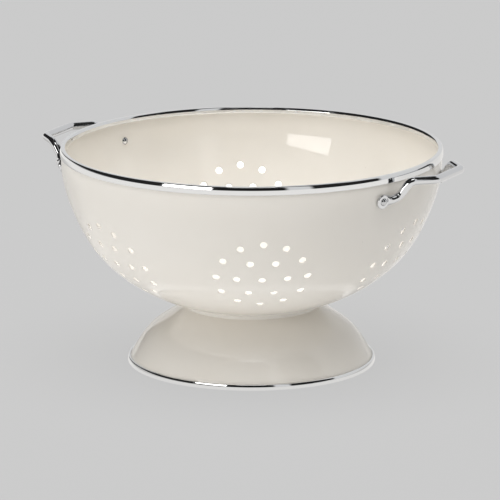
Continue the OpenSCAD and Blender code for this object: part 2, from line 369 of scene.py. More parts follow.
def makePin():  # a punch pin with flared ends, so that the hole it leaves has rounded edges on both faces
    r = rosette["holeRadius"]
    arcTurns = np.linspace(0, math.radians(rosette["edgeEnd"]), 4)
    ends = []
    for e in (rosette["innerEdge"], rosette["outerEdge"]):
        edge = np.array([(r + e - e * math.cos(t), -e + e * math.sin(t)) for t in arcTurns])
        lift = rosette["overshoot"] - edge[-1][1]
        flare = (edge[-1][0] + lift * math.tan(arcTurns[-1]), rosette["overshoot"])
        ends.append(np.vstack([edge, [flare], [(0, rosette["overshoot"])]]))
    inner = np.column_stack([ends[0][:, 0], -overall["wall"] - ends[0][:, 1]])[::-1]
    return turnOutline("pin", np.vstack([inner, ends[1]]), rosette["sides"], enamel)


def piercingGroup():
    tree, given = startGroup("rosettePiercing", {
        "Pin": "Object", "Inner ring radius": "Float", "Inner holes": "Int", "Outer ring radius": "Float",
        "Outer holes": "Int", "Rosettes": "Int", "Wall radius": "Float", "Height": "Float", "Lean": "Float",
        "Floor height": "Float", "Travel": "Float", "Enamel": "Material",
    })
    wall = given["Geometry"]
    # The rosette's points lie flat, with the punch's way along Z
    middle = addNode(tree, "GeometryNodePoints", {"Count": 1})
    halfStep = addNode(tree, "ShaderNodeMath", {0: math.pi, 1: given["Inner holes"]}, operation="DIVIDE")
    halfTurn = addNode(tree, "ShaderNodeCombineXYZ", {"Z": halfStep.outputs[0]})
    halfRotation = addNode(tree, "FunctionNodeEulerToRotation", {0: halfTurn.outputs[0]})
    innerRing = addNode(tree, "GeometryNodeMeshCircle",
                        {"Vertices": given["Inner holes"], "Radius": given["Inner ring radius"]})
    innerTurned = addNode(tree, "GeometryNodeTransform",
                          {"Geometry": innerRing.outputs[0], "Rotation": halfRotation.outputs[0]})
    outerRing = addNode(tree, "GeometryNodeMeshCircle",
                        {"Vertices": given["Outer holes"], "Radius": given["Outer ring radius"]})
    rings = addNode(tree, "GeometryNodeJoinGeometry", {0: [innerTurned.outputs[0], outerRing.outputs[0]]})
    ringPoints = addNode(tree, "GeometryNodeMeshToPoints", {"Mesh": rings.outputs[0]})
    points = addNode(tree, "GeometryNodeJoinGeometry", {0: [middle.outputs[0], ringPoints.outputs[0]]})
    # Round the wall, each rosette's Z points out of the wall and its X down it
    circle = addNode(tree, "GeometryNodeMeshCircle", {"Vertices": given["Rosettes"], "Radius": given["Wall radius"]})
    up = addNode(tree, "ShaderNodeCombineXYZ", {"Z": given["Height"]})
    spots = addNode(tree, "GeometryNodeTransform", {"Geometry": circle.outputs[0], "Translation": up.outputs[0]})
    where = addNode(tree, "GeometryNodeInputPosition").outputs[0]
    axes = addNode(tree, "ShaderNodeSeparateXYZ", {0: where})
    around = addNode(tree, "ShaderNodeMath", {0: axes.outputs["Y"], 1: axes.outputs["X"]}, operation="ARCTAN2")
    tilt = addNode(tree, "ShaderNodeMath", {0: math.pi / 2, 1: given["Lean"]}, operation="ADD")
    turn = addNode(tree, "ShaderNodeCombineXYZ", {"Y": tilt.outputs[0], "Z": around.outputs[0]})
    rotation = addNode(tree, "FunctionNodeEulerToRotation", {0: turn.outputs[0]})
    onWall = addNode(tree, "GeometryNodeInstanceOnPoints",
                     {"Points": spots.outputs[0], "Instance": points.outputs[0], "Rotation": rotation.outputs[0]})
    # One more looks down from the floor
    floorUp = addNode(tree, "ShaderNodeCombineXYZ", {"Z": given["Floor height"]})
    floorSpot = addNode(tree, "GeometryNodePoints", {"Count": 1, "Position": floorUp.outputs[0]})
    down = addNode(tree, "FunctionNodeEulerToRotation", {0: (math.pi, 0, 0)})
    onFloor = addNode(tree, "GeometryNodeInstanceOnPoints",
                      {"Points": floorSpot.outputs[0], "Instance": points.outputs[0], "Rotation": down.outputs[0]})
    both = addNode(tree, "GeometryNodeJoinGeometry", {0: [onWall.outputs[0], onFloor.outputs[0]]})
    facing = addNode(tree, "GeometryNodeInputInstanceRotation")
    outward = addNode(tree, "FunctionNodeRotateVector", {"Vector": (0, 0, 1), "Rotation": facing.outputs[0]})
    marked = addNode(tree, "GeometryNodeStoreNamedAttribute", domain="INSTANCE", data_type="FLOAT_VECTOR")
    tree.links.new(both.outputs[0], marked.inputs["Geometry"])
    marked.inputs["Name"].default_value = "punchWay"
    tree.links.new(outward.outputs[0], marked.inputs["Value"])
    spread = addNode(tree, "GeometryNodeRealizeInstances", {"Geometry": marked.outputs[0]})
    # Every pin goes to where the punch meets the wall, square to it
    way = addNode(tree, "GeometryNodeInputNamedAttribute", {"Name": "punchWay"}, data_type="FLOAT_VECTOR").outputs[0]
    back = addNode(tree, "ShaderNodeVectorMath", {0: way, "Scale": given["Travel"]}, operation="SCALE")
    start = addNode(tree, "ShaderNodeVectorMath", {0: where, 1: back.outputs[0]}, operation="ADD")
    stroke = addNode(tree, "ShaderNodeVectorMath", {0: way, "Scale": -1.0}, operation="SCALE")
    meet = addNode(tree, "GeometryNodeRaycast",
                   {"Target Geometry": wall, "Source Position": start.outputs[0], "Ray Direction": stroke.outputs[0],
                    "Ray Length": 1.0})
    seated = addNode(tree, "GeometryNodeSetPosition",
                     {"Geometry": spread.outputs[0], "Position": meet.outputs["Hit Position"]})
    square = addNode(tree, "FunctionNodeAlignRotationToVector", {"Vector": meet.outputs["Hit Normal"]}, axis="Z")
    pin = addNode(tree, "GeometryNodeObjectInfo", {"Object": given["Pin"]})
    pins = addNode(tree, "GeometryNodeInstanceOnPoints",
                   {"Points": seated.outputs[0], "Instance": pin.outputs["Geometry"],
                    "Rotation": square.outputs[0]})
    cutters = addNode(tree, "GeometryNodeRealizeInstances", {"Geometry": pins.outputs[0]})
    cut = addNode(tree, "GeometryNodeMeshBoolean", operation="DIFFERENCE", solver="MANIFOLD")
    tree.links.new(wall, cut.inputs["Mesh 1"])
    tree.links.new(cutters.outputs[0], cut.inputs["Mesh 2"])
    endGroup(tree, cut.outputs["Mesh"], given["Enamel"])
    return tree


# The wall's faces keep the normals of its outline, so that the facets that end at a hole don't show
def smoothLikeOutline(piece, outline, reach=0.02, batch=4000):
    mesh = piece.data
    mesh.shade_smooth()
    points = np.zeros(len(mesh.vertices) * 3, np.float32)
    mesh.vertices.foreach_get("co", points)
    points = points.reshape(-1, 3).astype(float) / mm
    flat = np.hypot(points[:, 0], points[:, 1])
    place = np.column_stack([flat, points[:, 2]])
    way = ways(outline)
    out = np.column_stack([way[:, 1], -way[:, 0]])
    starts, steps = outline[:-1], outline[1:] - outline[:-1]
    normals = np.zeros((len(points), 3))
    for first in range(0, len(points), batch):
        some = slice(first, first + batch)
        part = place[some]
        along = ((part[:, None] - starts) * steps).sum(2) / (steps**2).sum(1)
        along = along.clip(0, 1)
        gap = np.linalg.norm(part[:, None] - starts - along[:, :, None] * steps, axis=2)
        nearest = gap.argmin(1)
        rows = np.arange(len(part))
        share = along[rows, nearest][:, None]
        normal = out[nearest] * (1 - share) + out[nearest + 1] * share
        normal[gap[rows, nearest] > reach] = 0
        safe = np.maximum(flat[some], 1e-9)[:, None]
        normals[some, :2] = normal[:, :1] * points[some, :2] / safe
        normals[some, 2] = normal[:, 1]
    mesh.normals_split_custom_set_from_vertices([tuple(n) for n in normals])


def makeBowl():
    inside = beside(bowlOutline, overall["wall"])
    inside[0] = (0, floorHeight + overall["wall"])
    outline = np.vstack([bowlOutline, roundEnd(bowlOutline[-1], inside[-1], 8), inside[::-1]])
    bowl = turnOutline("enamelBowl", outline, overall["turns"], enamel)
    pin = makePin()
    height = floorHeight + rosette["Rise"]
    values = {
        "Pin": pin, "Inner ring radius": rosette["Inner ring radius"] * mm, "Inner holes": rosette["Inner holes"],
        "Outer ring radius": rosette["Outer ring radius"] * mm, "Outer holes": rosette["Outer holes"],
        "Rosettes": rosette["Rosettes"], "Wall radius": wallRadiusAt(height) * mm, "Height": height * mm,
        "Lean": wallLean(height), "Floor height": floorHeight * mm, "Travel": rosette["Travel"] * mm,
        "Enamel": enamel,
    }
    applyGroup(bowl, piercingGroup(), values)
    bpy.data.objects.remove(pin)
    smoothLikeOutline(bowl, outline)
    return bowl


bowl = makeBowl()
print("bowl made:", len(bowl.data.polygons), "faces")


# Foot
footShape = {
    "waistRadius": 42.0,
    "waistHeight": 37.8,
    "crownDrop": 2.9,
    "crownOut": 2.8,
    "crownSlope": 33.5,
    "crownReach": 22.0,
    "baseSlope": 60.7,
    "baseReach": 23.8,
    "baseRadius": 76.5,
    "baseHeight": 3.4,
    "lipRadius": 46.0,  # the enamel's fillet runs out on the bowl here
    "lipReach": 2.4,
    "waistReach": 1.44,
    "hem": 1.2,  # how far the foot's edge goes down into its trim
    "steps": 30,
    "filletSteps": 12,
}


def makeFoot():
    shape = footShape
    base = np.array([shape["baseRadius"], shape["baseHeight"]])
    crown = np.array([shape["waistRadius"] + shape["crownOut"], shape["waistHeight"] - shape["crownDrop"]])
    waist = np.array([shape["waistRadius"], shape["waistHeight"]])
    crownWay = heading(180 - shape["crownSlope"])
    dome = bezier([base, base + shape["baseReach"] * heading(180 - shape["baseSlope"]),
                   crown - shape["crownReach"] * crownWay, crown], shape["steps"])
    neck = bezier([crown, crown + shape["crownOut"] * crownWay, waist - (0, shape["crownDrop"] / 2), waist],
                  shape["filletSteps"], 1)

    def underBowl(radius):
        return np.interp(radius, wallOutline[:, 0], wallOutline[:, 1])

    lip = np.array([shape["lipRadius"], underBowl(shape["lipRadius"])])
    climb = underBowl(shape["lipRadius"] + 1) - lip[1]
    lipWay = np.array([1, climb]) / math.hypot(1, climb)
    fillet = bezier([waist, waist + (0, shape["waistReach"]), lip - shape["lipReach"] * lipWay, lip],
                    shape["filletSteps"], 1)
    tucked = lip + overall["wall"] / 2 * np.array([-lipWay[1], lipWay[0]])
    inside = beside(dome, overall["wall"])
    innerWaist = shape["waistRadius"] - overall["wall"]
    inside = inside[inside[:, 0] > innerWaist]
    innerTop = np.array([innerWaist, underBowl(innerWaist) + overall["wall"] / 2])
    down = np.array([0, -shape["hem"]])
    outline = np.vstack([[base + down], dome, neck, fillet, [tucked, innerTop], inside[::-1], [inside[0] + down]])
    foot = turnOutline("enamelFoot", outline, overall["turns"], enamel, closed=True)
    return foot


foot = makeFoot()
print("foot made")

# Trims
trimShape = {
    "sheet": 0.6,
    "rimWidth": 3.6,
    "rimSkirt": 2.6,  # upright part outside, below the flattened shoulder
    "rimInsideSkirt": 1.9,
    "footWidth": 3.4,
    "footSkirt": 1.2,
    "footCorner": 0.9,
    "rolled": (8.8, 15.8),  # degrees that the flattened shoulder leans back, at its foot and its top
    "rolledIn": (16.0, 23.0),  # the same for the side that faces into the bowl
    "rimRolled": 1.6,
    "rimInsideRolled": 1.0,
    "footRolled": 1.0,
    "ease": 0.2,  # length over which an upright side begins to lean
    "edge": 0.75,  # radius of the fold at the top
    "crest": 4.0,  # degrees short of level where the top's gentle crown begins
    "footTop": (75.0, 80.0),  # lean of the foot trim's upper edge, where it begins and where it ends
    "footEdge": 0.5,
}


def drawn(start, runs):  # an outline from runs of length, first and last lean back from upright, and steps
    points = [np.array(start, float)]
    for length, first, last, steps in runs:
        for i in range(steps):
            lean = first + (last - first) * (i + 0.5) / steps
            points.append(points[-1] + length / steps * heading(90 + lean))
    return np.array(points)


def makeRimTrim():
    shape = trimShape
    low, high = shape["rolled"]
    edge, level = shape["edge"], 90 - shape["crest"]
    fold = edge * math.radians(level - high)
    sides = [(shape["rimSkirt"], 0, 0, 3), (shape["ease"], 0, low, 3), (shape["rimRolled"], low, high, 5),
             (fold, high, level, 8)]
    lowIn, highIn = shape["rolledIn"]
    foldIn = edge * math.radians(level - highIn)
    back = [(foldIn, 180 - level, 180 - highIn, 8), (shape["rimInsideRolled"], 180 - highIn, 180 - lowIn, 4),
            (shape["ease"], 180 - lowIn, 180, 3), (shape["rimInsideSkirt"], 180, 180, 3)]
    outside, inside = drawn((0, 0), sides), drawn((0, 0), back)
    top = shape["rimWidth"] + outside[-1][0] + inside[-1][0]
    path = drawn((0, 0), [*sides, (top, level, 180 - level, 6), *back])
    path += (overall["rimRadius"], overall["height"] - path[:, 1].max())
    return turnOutline("rimTrim", folded(path, shape["sheet"]), overall["turns"], trimSteel, closed=True)


def makeFootTrim():
    shape = trimShape
    low, high = shape["rolled"]
    corner, edge = shape["footCorner"], shape["edge"]
    bend = corner * math.pi / 2
    flat = shape["footWidth"] - 2 * corner
    top, end = shape["footTop"]
    path = drawn((0, 0), [
        (shape["footSkirt"], -180, -180, 3), (bend, -180, -90, 8), (flat, -90, -90, 3), (bend, -90, 0, 8),
        (shape["footSkirt"], 0, 0, 3), (shape["ease"], 0, low, 3), (shape["footRolled"], low, high, 4),
        (edge * math.radians(top - high), high, top, 8), (shape["footEdge"], top, end, 2),
    ])
    path += (overall["footRadius"] - path[:, 0].max(), -path[:, 1].min())
    return turnOutline("footTrim", folded(path, shape["sheet"]), overall["turns"], trimSteel, closed=True)


rimTrim = makeRimTrim()
footTrim = makeFootTrim()
print("trims made")

# Handles
handleShape = {
    "wire": 5.2,
    "bend": 6.0,
    "gripOut": 17.5,
    "gripHalf": 16.5,
    "kneeOut": 5.5,
    "kneeHalf": 28.5,
    "gripDrop": 4.0,
    "tab": 9.0,
    "tabThick": 2.0,
    "liftRun": 7.5,
    "liftRise": 2.0,
    "seat": 0.1,
    "pressStart": 2.3,  # from the rivet, where the pressed tab begins to swell
    "pressEnd": 5.8,  # where it is round wire again
    "neckHalf": 3.3,  # half width of the pressed neck beside the tab
    "neckRun": 2.0,  # from the rivet, over which that neck comes out of the tab
    "neckPower": 10,  # how tightly the tab's round meets its neck
    "flatness": 5.0,  # how square the pressed section is; 2 is round
    "tabEdge": 0.5,  # the tab thins to its rim over this width
    "tipStart": 0.06,  # radians of the tab's tip that its flat end cuts off
    "tipSteps": 14,
    "leadSteps": 22,
    "flatStations": 12,  # as many sections from the tip lie square to the tab
    "leastStep": 0.02,
    "sides": 40,
    "bendSteps": 10,
}
rivetShape = {
    "angle": 20.0,
    "rightTurn": -2.0,  # the right handle isn't quite opposite the left one
    "drop": 15.7,
    "head": 4.9,
    "headHeight": 1.4,
    "shank": 3.0,
    "sides": 32,
}
rivetHeight = overall["height"] - rivetShape["drop"]


def fromWall(angle, z, p):  # p is down the wall, round it and out of it
    lean = wallLean(z)
    out = wallRadiusAt(z) + p[2] * math.cos(lean) - p[0] * math.sin(lean)
    up = z - p[2] * math.sin(lean) - p[0] * math.cos(lean)
    c, s = math.cos(math.radians(angle)), math.sin(math.radians(angle))
    return np.array([out * c - p[1] * s, out * s + p[1] * c, up])


def smoothStep(a, b, x):
    t = min(max((x - a) / (b - a), 0), 1)
    return t * t * (3 - 2 * t)


# Half of the wire, from the end of its tab to the middle of the grip: centres, half widths, half heights, squareness
def wireStations():
    shape = handleShape
    half = shape["wire"] / 2
    thin = shape["tabThick"] / 2
    tabHalf = shape["tab"] / 2
    liftWay = np.array([-shape["liftRise"], -tabHalf - shape["liftRun"]])
    liftLength = np.linalg.norm(liftWay)
    liftWay = liftWay / liftLength
    grip = overall["rimRadius"] + shape["gripOut"]
    gripZ = overall["height"] - shape["gripDrop"]

    def besideWall(s, out):
        return fromWall(rivetShape["angle"], rivetHeight, [*(s * liftWay), out])

    root = besideWall(0, shape["seat"] + half)
    lift = besideWall(liftLength, shape["seat"] + half)
    knee = np.array([overall["rimRadius"] + shape["kneeOut"], shape["kneeHalf"], gripZ])
    corner = np.array([grip, shape["gripHalf"], gripZ])
    middle = np.array([grip, 0, gripZ])
    path = [root, lift, knee, corner, middle]

    def run(i):
        u = (path[i] - path[i - 1]) / np.linalg.norm(path[i] - path[i - 1])
        v = (path[i + 1] - path[i]) / np.linalg.norm(path[i + 1] - path[i])
        turn = math.acos(np.clip(u @ v, -1, 1))
        return u, v, turn, shape["bend"] * math.tan(turn / 2)

    stations = []
    firstRun = run(1)[3]
    ends = -tabHalf * np.cos(np.linspace(shape["tipStart"], math.pi / 2, shape["tipSteps"]))
    for s in [*ends, *np.linspace(0, liftLength - firstRun, shape["leadSteps"])[1:]]:
        swell = smoothStep(shape["pressStart"], shape["pressEnd"], s)
        height = thin + (half - thin) * swell
        edge = max(tabHalf - abs(s), 0) if s < 0 else tabHalf
        height *= math.sqrt(1 - (1 - min(edge / shape["tabEdge"], 1)) ** 2)
        disc = math.sqrt(max(tabHalf**2 - s * s, 0))
        neck = half + (shape["neckHalf"] - half) * (1 - swell)
        power = shape["neckPower"]
        width = disc if s < 0 else (disc**power + neck**power * smoothStep(0, shape["neckRun"], s)) ** (1 / power)
        squareness = shape["flatness"] + (2 - shape["flatness"]) * swell
        stations.append((besideWall(s, shape["seat"] + thin + (half - thin) * swell), width, height, squareness))
    for i in (1, 2, 3):
        u, v, turn, reach = run(i)
        inward = v - (u @ v) * u
        inward /= np.linalg.norm(inward)
        centre = path[i] - reach * u + shape["bend"] * inward
        for t in np.linspace(0, turn, shape["bendSteps"] + 1):
            point = centre - shape["bend"] * math.cos(t) * inward + shape["bend"] * math.sin(t) * u
            stations.append((point, half, half, 2.0))
    stations.append((middle, half, half, 2.0))
    kept = [stations[0]]
    for station in stations[1:]:
        if np.linalg.norm(station[0] - kept[-1][0]) > shape["leastStep"]:
            kept.append(station)
    return kept


def makeHandle(name, turn):
    stations = wireStations()
    sides = handleShape["sides"]
    centres = np.array([s[0] for s in stations])
    mirrored = centres[-2] * (1, -1, 1)
    ahead = np.vstack([centres[1:], mirrored])
    behind = np.vstack([centres[:1], centres[:-1]])
    tangents = ahead - behind
    tangents /= np.linalg.norm(tangents, axis=1)[:, None]
    flat = handleShape["flatStations"]
    tangents[:flat] = tangents[flat - 1]
    lean, c, s = wallLean(rivetHeight), *heading(rivetShape["angle"])
    normal = np.array([math.cos(lean) * c, math.cos(lean) * s, -math.sin(lean)])
    rings = []
    for (centre, width, height, squareness), tangent in zip(stations, tangents):
        normal = normal - (normal @ tangent) * tangent
        normal /= np.linalg.norm(normal)
        across = np.cross(tangent, normal)
        ring = []
        for k in range(sides):
            a = 2 * math.pi * (k + 0.5) / sides
            ca, sa = math.cos(a), math.sin(a)
            x = width * math.copysign(abs(ca) ** (2 / squareness), ca)
            y = height * math.copysign(abs(sa) ** (2 / squareness), sa)
            ring.append(centre + x * across + y * normal)
        rings.append(ring)
    rings += [[p * (1, -1, 1) for p in ring] for ring in rings[-2::-1]]
    vertices = np.array([p for ring in rings for p in ring])
    c, s = heading(turn)
    vertices = vertices @ np.array([[c, s, 0], [-s, c, 0], [0, 0, 1]])
    faces = []
    for i in range(len(rings) - 1):
        for k in range(sides):
            n = (k + 1) % sides
            faces.append((i * sides + k, (i + 1) * sides + k, (i + 1) * sides + n, i * sides + n))
    last = (len(rings) - 1) * sides
    faces.append(tuple(range(sides)))
    faces.append(tuple(last + k for k in reversed(range(sides))))
    handle = makeObject(name, vertices, faces, wireChrome)
    pointOutwards(handle)
    return handle


def pointOutwards(piece):  # recalculates normals, and turns the mesh if its volume comes out negative
    work = bmesh.new()
    work.from_mesh(piece.data)
    bmesh.ops.recalc_face_normals(work, faces=work.faces)
    if work.calc_volume(signed=True) < 0:
        bmesh.ops.reverse_faces(work, faces=work.faces)
    work.to_mesh(piece.data)
    work.free()


handleRight = makeHandle("wireHandleRight", rivetShape["rightTurn"])
handleLeft = makeHandle("wireHandleLeft", 180.0)
print("handles made")


# Rivets: one turned rivet, set at the four places by Geometry Nodes
def makeRivet():
    shape = rivetShape
    seat = handleShape["seat"]
    outerFace = seat + handleShape["tabThick"] + seat
    innerFace = -overall["wall"] - seat
    radius, h = shape["head"] / 2, shape["headHeight"]
    ball = (radius**2 + h**2) / (2 * h)
    reach = math.degrees(math.asin(radius / ball))
    dome = arc((0, h - ball), ball, 90 - reach, 90, 10) + (0, outerFace)
    outer = np.vstack([[(shape["shank"] / 2, outerFace)], dome])
    outer[-1][0] = 0
    inner = np.column_stack([outer[:, 0], innerFace + outerFace - outer[:, 1]])[::-1]
    return turnOutline("rivetBlank", np.vstack([inner, outer]), shape["sides"], rivetChrome)


def rivetingGroup():
    tree, given = startGroup("rivetSetting", {
        "Rivet": "Object", "Wall radius": "Float", "Height": "Float", "Lean": "Float", "Angle": "Float",
        "First turn": "Float", "Handles": "Int", "Chrome": "Material",
    })
    # Even points take one side of a handle, odd ones the other
    index = addNode(tree, "GeometryNodeInputIndex").outputs[0]
    count = addNode(tree, "ShaderNodeMath", {0: given["Handles"], 1: 2.0}, operation="MULTIPLY")
    odd = addNode(tree, "ShaderNodeMath", {0: index, 1: 2.0}, operation="MODULO")
    side = addNode(tree, "ShaderNodeMath", {0: odd.outputs[0], 1: -2.0, 2: 1.0}, operation="MULTIPLY_ADD")
    halfIndex = addNode(tree, "ShaderNodeMath", {0: index, 1: 2.0}, operation="DIVIDE")
    handle = addNode(tree, "ShaderNodeMath", {0: halfIndex.outputs[0]}, operation="FLOOR")
    apart = addNode(tree, "ShaderNodeMath", {0: 2 * math.pi, 1: given["Handles"]}, operation="DIVIDE")
    first = addNode(tree, "ShaderNodeMath", {0: handle.outputs[0], 1: 0.5}, operation="LESS_THAN")
    turned = addNode(tree, "ShaderNodeMath", {0: first.outputs[0], 1: given["First turn"]}, operation="MULTIPLY")
    middle = addNode(tree, "ShaderNodeMath", {0: handle.outputs[0], 1: apart.outputs[0], 2: turned.outputs[0]},
                     operation="MULTIPLY_ADD")
    around = addNode(tree, "ShaderNodeMath", {0: side.outputs[0], 1: given["Angle"], 2: middle.outputs[0]},
                     operation="MULTIPLY_ADD")
    start = addNode(tree, "ShaderNodeCombineXYZ", {"X": given["Wall radius"], "Z": given["Height"]})
    where = addNode(tree, "ShaderNodeVectorRotate", {"Vector": start.outputs[0], "Angle": around.outputs[0]},
                    rotation_type="Z_AXIS")
    spots = addNode(tree, "GeometryNodePoints", {"Count": count.outputs[0], "Position": where.outputs[0]})
    tilt = addNode(tree, "ShaderNodeMath", {0: math.pi / 2, 1: given["Lean"]}, operation="ADD")
    facing = addNode(tree, "ShaderNodeCombineXYZ", {"Y": tilt.outputs[0], "Z": around.outputs[0]})
    rotation = addNode(tree, "FunctionNodeEulerToRotation", {0: facing.outputs[0]})
    rivet = addNode(tree, "GeometryNodeObjectInfo", {"Object": given["Rivet"]})
    rivets = addNode(tree, "GeometryNodeInstanceOnPoints",
                     {"Points": spots.outputs[0], "Instance": rivet.outputs["Geometry"],
                      "Rotation": rotation.outputs[0]})
    endGroup(tree, rivets.outputs[0], given["Chrome"])
    return tree


rivetBlank = makeRivet()
rivets = makeObject("domeRivets", [], [], rivetChrome)
applyGroup(rivets, rivetingGroup(), {
    "Rivet": rivetBlank, "Wall radius": wallRadiusAt(rivetHeight) * mm, "Height": rivetHeight * mm,
    "Lean": wallLean(rivetHeight), "Angle": math.radians(rivetShape["angle"]), "Handles": 2, "Chrome": rivetChrome,
    "First turn": math.radians(rivetShape["rightTurn"]),
})
bpy.data.objects.remove(rivetBlank)
rivets.data.shade_smooth()
print("rivets made:", len(rivets.data.polygons), "faces")

for piece, node, slot in (
    (bowl, "bowl", "enamel"), (foot, "foot", "enamel"), (rimTrim, "rim_band", "trim"),
    (footTrim, "foot_band", "trim"), (handleRight, "handle_right", "wire"), (handleLeft, "handle_left", "wire"),
    (rivets, "rivets", "rivet"),
):
    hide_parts(node)
    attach(piece, body)

# Studio
studio = {
    "background": "#CBCBCB",
    "floorSize": 12.0,  # metres
    "floorBounce": 0.35,
    "glowNear": 0.73,  # light from the paper: under the object, and beyond it to the left and to the right
    "glowLeft": 0.38,
    "glowRight": 0.22,
    "nearReach": (90, 220),  # where the light from under the object begins and ends to fade
    "leftReach": (-150, 150),  # where the left side's values go over into the right side's
    "frontReach": (-100, 100),  # and the front's into the back's
    "mirrorTint": "#FFFDFA",
    "mirrorShadedNear": 0.5,  # the floor's brightness in reflections; under and near the object it is darker, as painted shade
    "mirrorLitRing": 0.87,  # painted light: a brighter ring of paper close by the foot, which its trim mirrors
    "footReach": (86, 96),
    "mirrorFront": 0.97,
    "mirrorSide": 0.95,
    "mirrorBack": 0.85,
    "mirrorShade": 0.58,  # painted shade: a darker patch behind the object, on the left
    "shadePlace": (-220, 380),
    "shadeReach": (180, 330),
    "flatShare": 0.88,  # how much of the floor is flat colour; the rest takes shadows
    "floorShade": 0.425,
    "backdropInMetal": 0.75,
    "skyEven": 0.34,
    "skyZenith": 4.82,
    "zenithFrom": (0.84, 0.94),  # height of a direction, as its sine, where that light begins and is full
    "edgeSoft": 1.5,  # degrees either side of an edge in the surroundings
    # Painted light: a patch of the paper behind the bowl glows brighter than white, for the camera alone
    "paintedGlowBrightness": 1.6,
    "paintedGlowColour": (1, 0.995, 0.98, 1),  # linear
    "paintedGlowPlace": (0, 425),  # a painted bright patch that glows on the paper behind the bowl, for the camera alone; its place here as seen from the camera
    "paintedGlowHalf": (40, 150),
    "paintedGlowEdge": 30,
    "cameraTurn": 26.3,
    "cameraDistance": 3.0,
    "cameraHeight": 0.7891,
    "cameraAside": -0.000978,
    "cameraPitch": 13.464,
    "lens": 352.89,
}
# Glossy surroundings, by azimuth to the right of the camera: from, to, lowest, highest elevation, brightness
surroundings = [
    (-160, -54, 0, 100, 0.02),
    (-54, -24, 0, 100, 0.02),
    (-24, 21, 0, 100, 0.015),
    (21, 36, 60, 100, 0.02),
    (36, 82, 0, 100, 0.02),
    (82, 200, 60, 100, 0.02),
]
# Softboxes as seen from the camera: X to its right, Y away from it, mm; two ends of the lower edge, its height,
# the upper edge's height and set-back, and the brightness
softboxes = [
    ("softboxLeft", (-1479, -1142), (-910, -2155), 290, 790, 0, 4.9, "#FFFDFA"),
    ("softboxTop", (-330, -1090), (330, -1090), 1580, 1820, -480, 2.0, "#FFFEFC"),
]


def makeFloor():
    material, tree = startMaterial("paperSweep")
    path = addNode(tree, "ShaderNodeLightPath")
    shade = studio["floorShade"]
    flat = addNode(tree, "ShaderNodeEmission", {"Color": hexColour(studio["background"]), "Strength": 1.0})
    seen = addNode(tree, "ShaderNodeBsdfDiffuse", {"Color": (shade,) * 3 + (1,)})
    paper = addNode(tree, "ShaderNodeMixShader", {0: studio["flatShare"], 1: seen.outputs[0], 2: flat.outputs[0]})
    place = addNode(tree, "ShaderNodeTexCoord").outputs["Object"]
    turned = addNode(tree, "ShaderNodeVectorRotate",
                     {"Vector": place, "Angle": math.radians(-studio["cameraTurn"])}, rotation_type="Z_AXIS")
    axes = addNode(tree, "ShaderNodeSeparateXYZ", {0: turned.outputs[0]})
    far = addNode(tree, "ShaderNodeVectorMath", {0: place}, operation="LENGTH")

    def fade(value, start, end):  # 1 up to the start, 0 from the end on
        return addNode(tree, "ShaderNodeMapRange", {"Value": value, "From Min": start * mm, "From Max": end * mm,
                                                    "To Min": 1.0, "To Max": 0.0},
                       interpolation_type="SMOOTHSTEP").outputs[0]

    def blend(share, none, full):
        return addNode(tree, "ShaderNodeMix", {"Factor": share, 2: none, 3: full}).outputs[0]

    near = fade(far.outputs["Value"], *studio["nearReach"])
    toLeft = fade(axes.outputs["X"], *studio["leftReach"])
    toFront = fade(axes.outputs["Y"], *studio["frontReach"])
    glow = blend(near, blend(toLeft, studio["glowRight"], studio["glowLeft"]), studio["glowNear"])
    # Painted shade: in reflections a patch of paper behind the object, on the left, is darker
    shadeMiddle = (*(v * mm for v in studio["shadePlace"]), 0)
    apart = addNode(tree, "ShaderNodeVectorMath", {0: turned.outputs[0], 1: shadeMiddle}, operation="DISTANCE")
    shaded = fade(apart.outputs["Value"], *studio["shadeReach"])
    behind = blend(shaded, blend(toLeft, studio["mirrorBack"], studio["mirrorSide"]), studio["mirrorShade"])
    # Painted shade: in reflections the paper is darker under and near the object
    mirror = blend(near, blend(toFront, behind, studio["mirrorFront"]), studio["mirrorShadedNear"])
    # Painted light: in reflections a ring of paper close by the foot is brighter
    mirror = blend(fade(far.outputs["Value"], *studio["footReach"]), mirror, studio["mirrorLitRing"])
    matt = addNode(tree, "ShaderNodeBsdfDiffuse", {"Color": (studio["floorBounce"],) * 3 + (1,)})
    lit = addNode(tree, "ShaderNodeEmission", {"Color": (1, 1, 1, 1), "Strength": glow})
    bounce = addNode(tree, "ShaderNodeAddShader", {0: matt.outputs[0], 1: lit.outputs[0]})
    mirrored = addNode(tree, "ShaderNodeEmission", {"Color": hexColour(studio["mirrorTint"]), "Strength": mirror})
    # Painted light: a glowing patch on the paper, seen by the camera alone; its edges fade into the paper
    covers = []
    for i in (0, 1):
        off = addNode(tree, "ShaderNodeMath", {0: axes.outputs[i], 1: studio["paintedGlowPlace"][i] * mm},
                      operation="SUBTRACT")
        size = addNode(tree, "ShaderNodeMath", {0: off.outputs[0]}, operation="ABSOLUTE")
        covers.append(fade(size.outputs[0], studio["paintedGlowHalf"][i], studio["paintedGlowHalf"][i] + studio["paintedGlowEdge"]))
    cover = addNode(tree, "ShaderNodeMath", {0: covers[0], 1: covers[1]}, operation="MULTIPLY")
    paintedGlow = addNode(tree, "ShaderNodeEmission", {"Color": studio["paintedGlowColour"], "Strength": studio["paintedGlowBrightness"]})
    camera = addNode(tree, "ShaderNodeMixShader", {0: cover.outputs[0], 1: paper.outputs[0], 2: paintedGlow.outputs[0]})
    glossy = addNode(tree, "ShaderNodeMixShader",
                     {0: path.outputs["Is Glossy Ray"], 1: bounce.outputs[0], 2: mirrored.outputs[0]})
    both = addNode(tree, "ShaderNodeMixShader",
                   {0: path.outputs["Is Camera Ray"], 1: glossy.outputs[0], 2: camera.outputs[0]})
    addNode(tree, "ShaderNodeOutputMaterial", {"Surface": both.outputs[0]})
    half = studio["floorSize"] / 2 / mm
    floor = makeObject("floor", [(-half, -half, 0), (half, -half, 0), (half, half, 0), (-half, half, 0)],
                       [(0, 1, 2, 3)], material)


